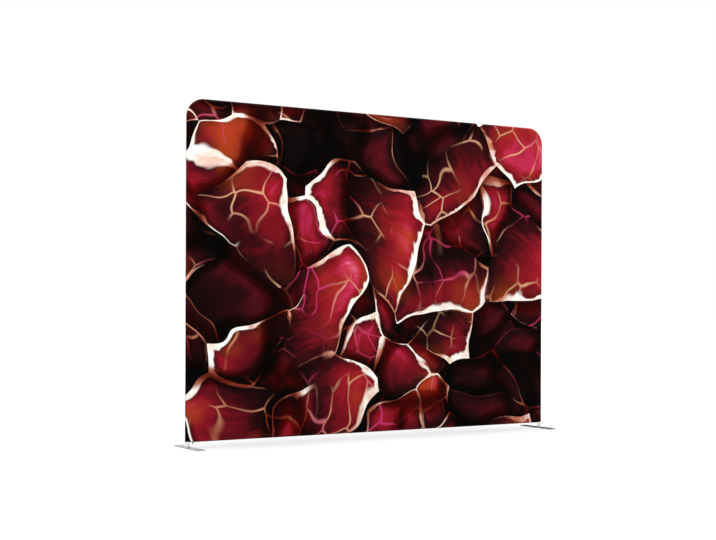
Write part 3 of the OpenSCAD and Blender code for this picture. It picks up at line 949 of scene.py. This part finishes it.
def makeEased(name, node, width, material, body):
    # a copy of a hard piece with its sharp edges eased, as cut, cast and turned metal has
    piece = copyNode(name, node, material)
    editWelded(easing["weld"])
    bpy.ops.mesh.dissolve_limited(angle_limit=easing["flat"])
    bpy.ops.mesh.normals_make_consistent(inside=False)
    bpy.ops.object.mode_set(mode="OBJECT")
    applyModifier(piece, "BEVEL", width=width, segments=easing["segments"], limit_method="ANGLE",
                  angle_limit=easing["sharp"])
    editWelded(easing["weld"])
    bpy.ops.object.mode_set(mode="OBJECT")
    bpy.ops.object.shade_smooth_by_angle(angle=easing["sharp"])
    applyModifier(piece, "WEIGHTED_NORMAL", keep_sharp=True)
    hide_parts(node)
    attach(piece, body)


for side in ("left", "right"):
    foot = side + "_foot"
    makeEased(side + "FootPlate", foot + "_plate", easing["plate"], plateSteel, foot)
    makeEased(side + "FootSpigot", foot + "_spigot", easing["spigot"], turnedSteel, foot)
    makeEased(side + "FootScrew", foot + "_screw", easing["screw"], zinc, foot)
makeEased("zipStops", "zip_stops", easing["zip"], nickel, "frame")
makeEased("zipSlider", "zip_slider", easing["zip"], enamel, "slider")
makeEased("zipPull", "zip_pull", easing["zip"], enamel, "pull")
print("feet, stops, slider and pull made")

# The V springs, which close as their buttons go in: here one piece under each button, kept at rest
springs = {
    "weld": 0.000005,
    "smooth": math.radians(30),
    "press": "press_",              # how the joints that push the buttons in are named
}
joints = frame["record"]["behaviour"]["joints"]
pressJoints = {joint["name"]: joint for joint in joints if joint["name"].startswith(springs["press"])}


def makeSprings():
    # the node's springs, parted; each one is named after the press joint of its nearest button
    copyNode("vSpring", "snap_springs", springSteel)
    editWelded(springs["weld"])
    bpy.ops.mesh.separate(type="LOOSE")
    bpy.ops.object.mode_set(mode="OBJECT")
    parted = list(bpy.context.selected_objects)
    for spring in parted:
        selectOnly(spring)
        bpy.ops.object.shade_smooth_by_angle(angle=springs["smooth"])
        points = [vertex.co.copy() for vertex in spring.data.vertices]
        middle = sum(points, Vector())/len(points)
        gaps = {}
        for name in pressJoints:
            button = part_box("button_" + name.removeprefix(springs["press"]))
            gaps[name] = (sum(button, Vector())/2 - middle).length
        joint = pressJoints[min(gaps, key=gaps.get)]
        spring.name = "spring" + joint["name"].removeprefix(springs["press"]).title().replace("_", "")
        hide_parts("snap_springs")
        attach(spring, "frame")
        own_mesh(spring)
    return len(parted)


print("springs made:", makeSprings())

# The coil: one bent link, repeated along each row
coil = {
    "pitch": 0.0022,
    "wire": 0.00043,
    "crown": 0.00055,               # how far a link reaches past the middle line
    "lean": 0.45,                   # how far a link leans along the row, as a share of the pitch
    "crownRise": 0.55,
    "openShare": 0.28,              # what is left of a row's width once the zip is open
    "route": [(-1.0, -0.5, -1.0), (-0.35, -0.5, -1.0), (0.0, -0.35, -1.0),
              (0.0, 0.35, 1.0), (-0.35, 0.5, 1.0), (-1.0, 0.5, 1.0)],
}


def makeCoil(name, node, facing, phase):
    low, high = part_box(node)
    outer = max(abs(low.y), abs(high.y)) - coil["wire"]
    middle = (low.z + high.z)/2
    rise = (high.z - low.z)/2 - coil["wire"]
    line = bpy.data.curves.new(name, "CURVE")
    line.dimensions = "3D"
    line.bevel_depth = coil["wire"]
    line.bevel_resolution = 1
    line.use_fill_caps = True
    route = line.splines.new("POLY")
    route.points.add(len(coil["route"]) - 1)
    start = low.x + coil["pitch"]*(0.5 + phase)
    for point, (out, lean, up) in zip(route.points, coil["route"]):
        reach = -coil["crown"] - out*(outer + coil["crown"])
        upShare = coil["crownRise"] if out == 0 else 1.0
        point.co = (start + lean*coil["pitch"]*coil["lean"], facing*reach, middle + up*rise*upShare, 1)
    selectOnly(addPiece(name, line))
    bpy.ops.object.convert(target="MESH")
    piece = bpy.context.object
    bpy.ops.object.mode_set(mode="EDIT")
    bpy.ops.mesh.select_all(action="SELECT")
    bpy.ops.mesh.normals_make_consistent(inside=False)
    bpy.ops.object.mode_set(mode="OBJECT")
    links = int((high.x - low.x)/coil["pitch"] - 0.5)
    applyModifier(piece, "ARRAY", use_relative_offset=False, use_constant_offset=True,
                  constant_offset_displace=(coil["pitch"], 0, 0), count=links)
    bpy.ops.object.shade_smooth()
    piece.data.materials.append(nylon)
    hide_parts(node)
    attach(piece, "frame")
    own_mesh(piece)


makeCoil("coilFront", "zip_teeth_front", -1, 0.0)
makeCoil("coilBack", "zip_teeth_back", 1, 0.5)
print("zip coil made")
